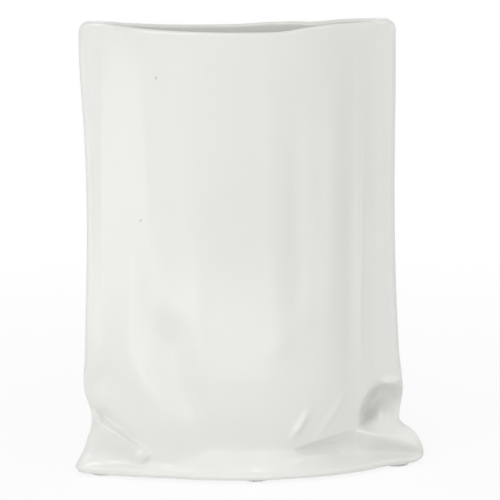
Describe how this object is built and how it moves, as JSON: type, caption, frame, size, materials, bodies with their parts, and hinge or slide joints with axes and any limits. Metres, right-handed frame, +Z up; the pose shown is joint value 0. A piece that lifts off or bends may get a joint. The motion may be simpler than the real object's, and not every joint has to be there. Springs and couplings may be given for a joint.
{
  "type": "vase",
  "caption": "White glazed ceramic flower vase shaped like a slumped paper bag: lens-shaped mouth, flat side seams, a crumpled foot with flared ears, and clear pads below.",
  "frame": {"origin": "on the surface the vase rests on, midway between the tips of the two foot ears and midway between front and back", "axes": "+Z up; -Y towards the viewer, out of the front face with the deep dent; +X to the viewer's right, along the vase's width"},
  "size_m": [0.2112, 0.0753, 0.27],
  "materials": {
    "glaze": "glossy clear glaze over white clay",
    "pads": "clear soft pad, satin"
  },
  "bodies": {
    "root": {"vase_body": "glaze", "pad_front": "pads", "pad_back": "pads", "pad_left": "pads", "pad_right": "pads"}
  },
  "joints": []
}
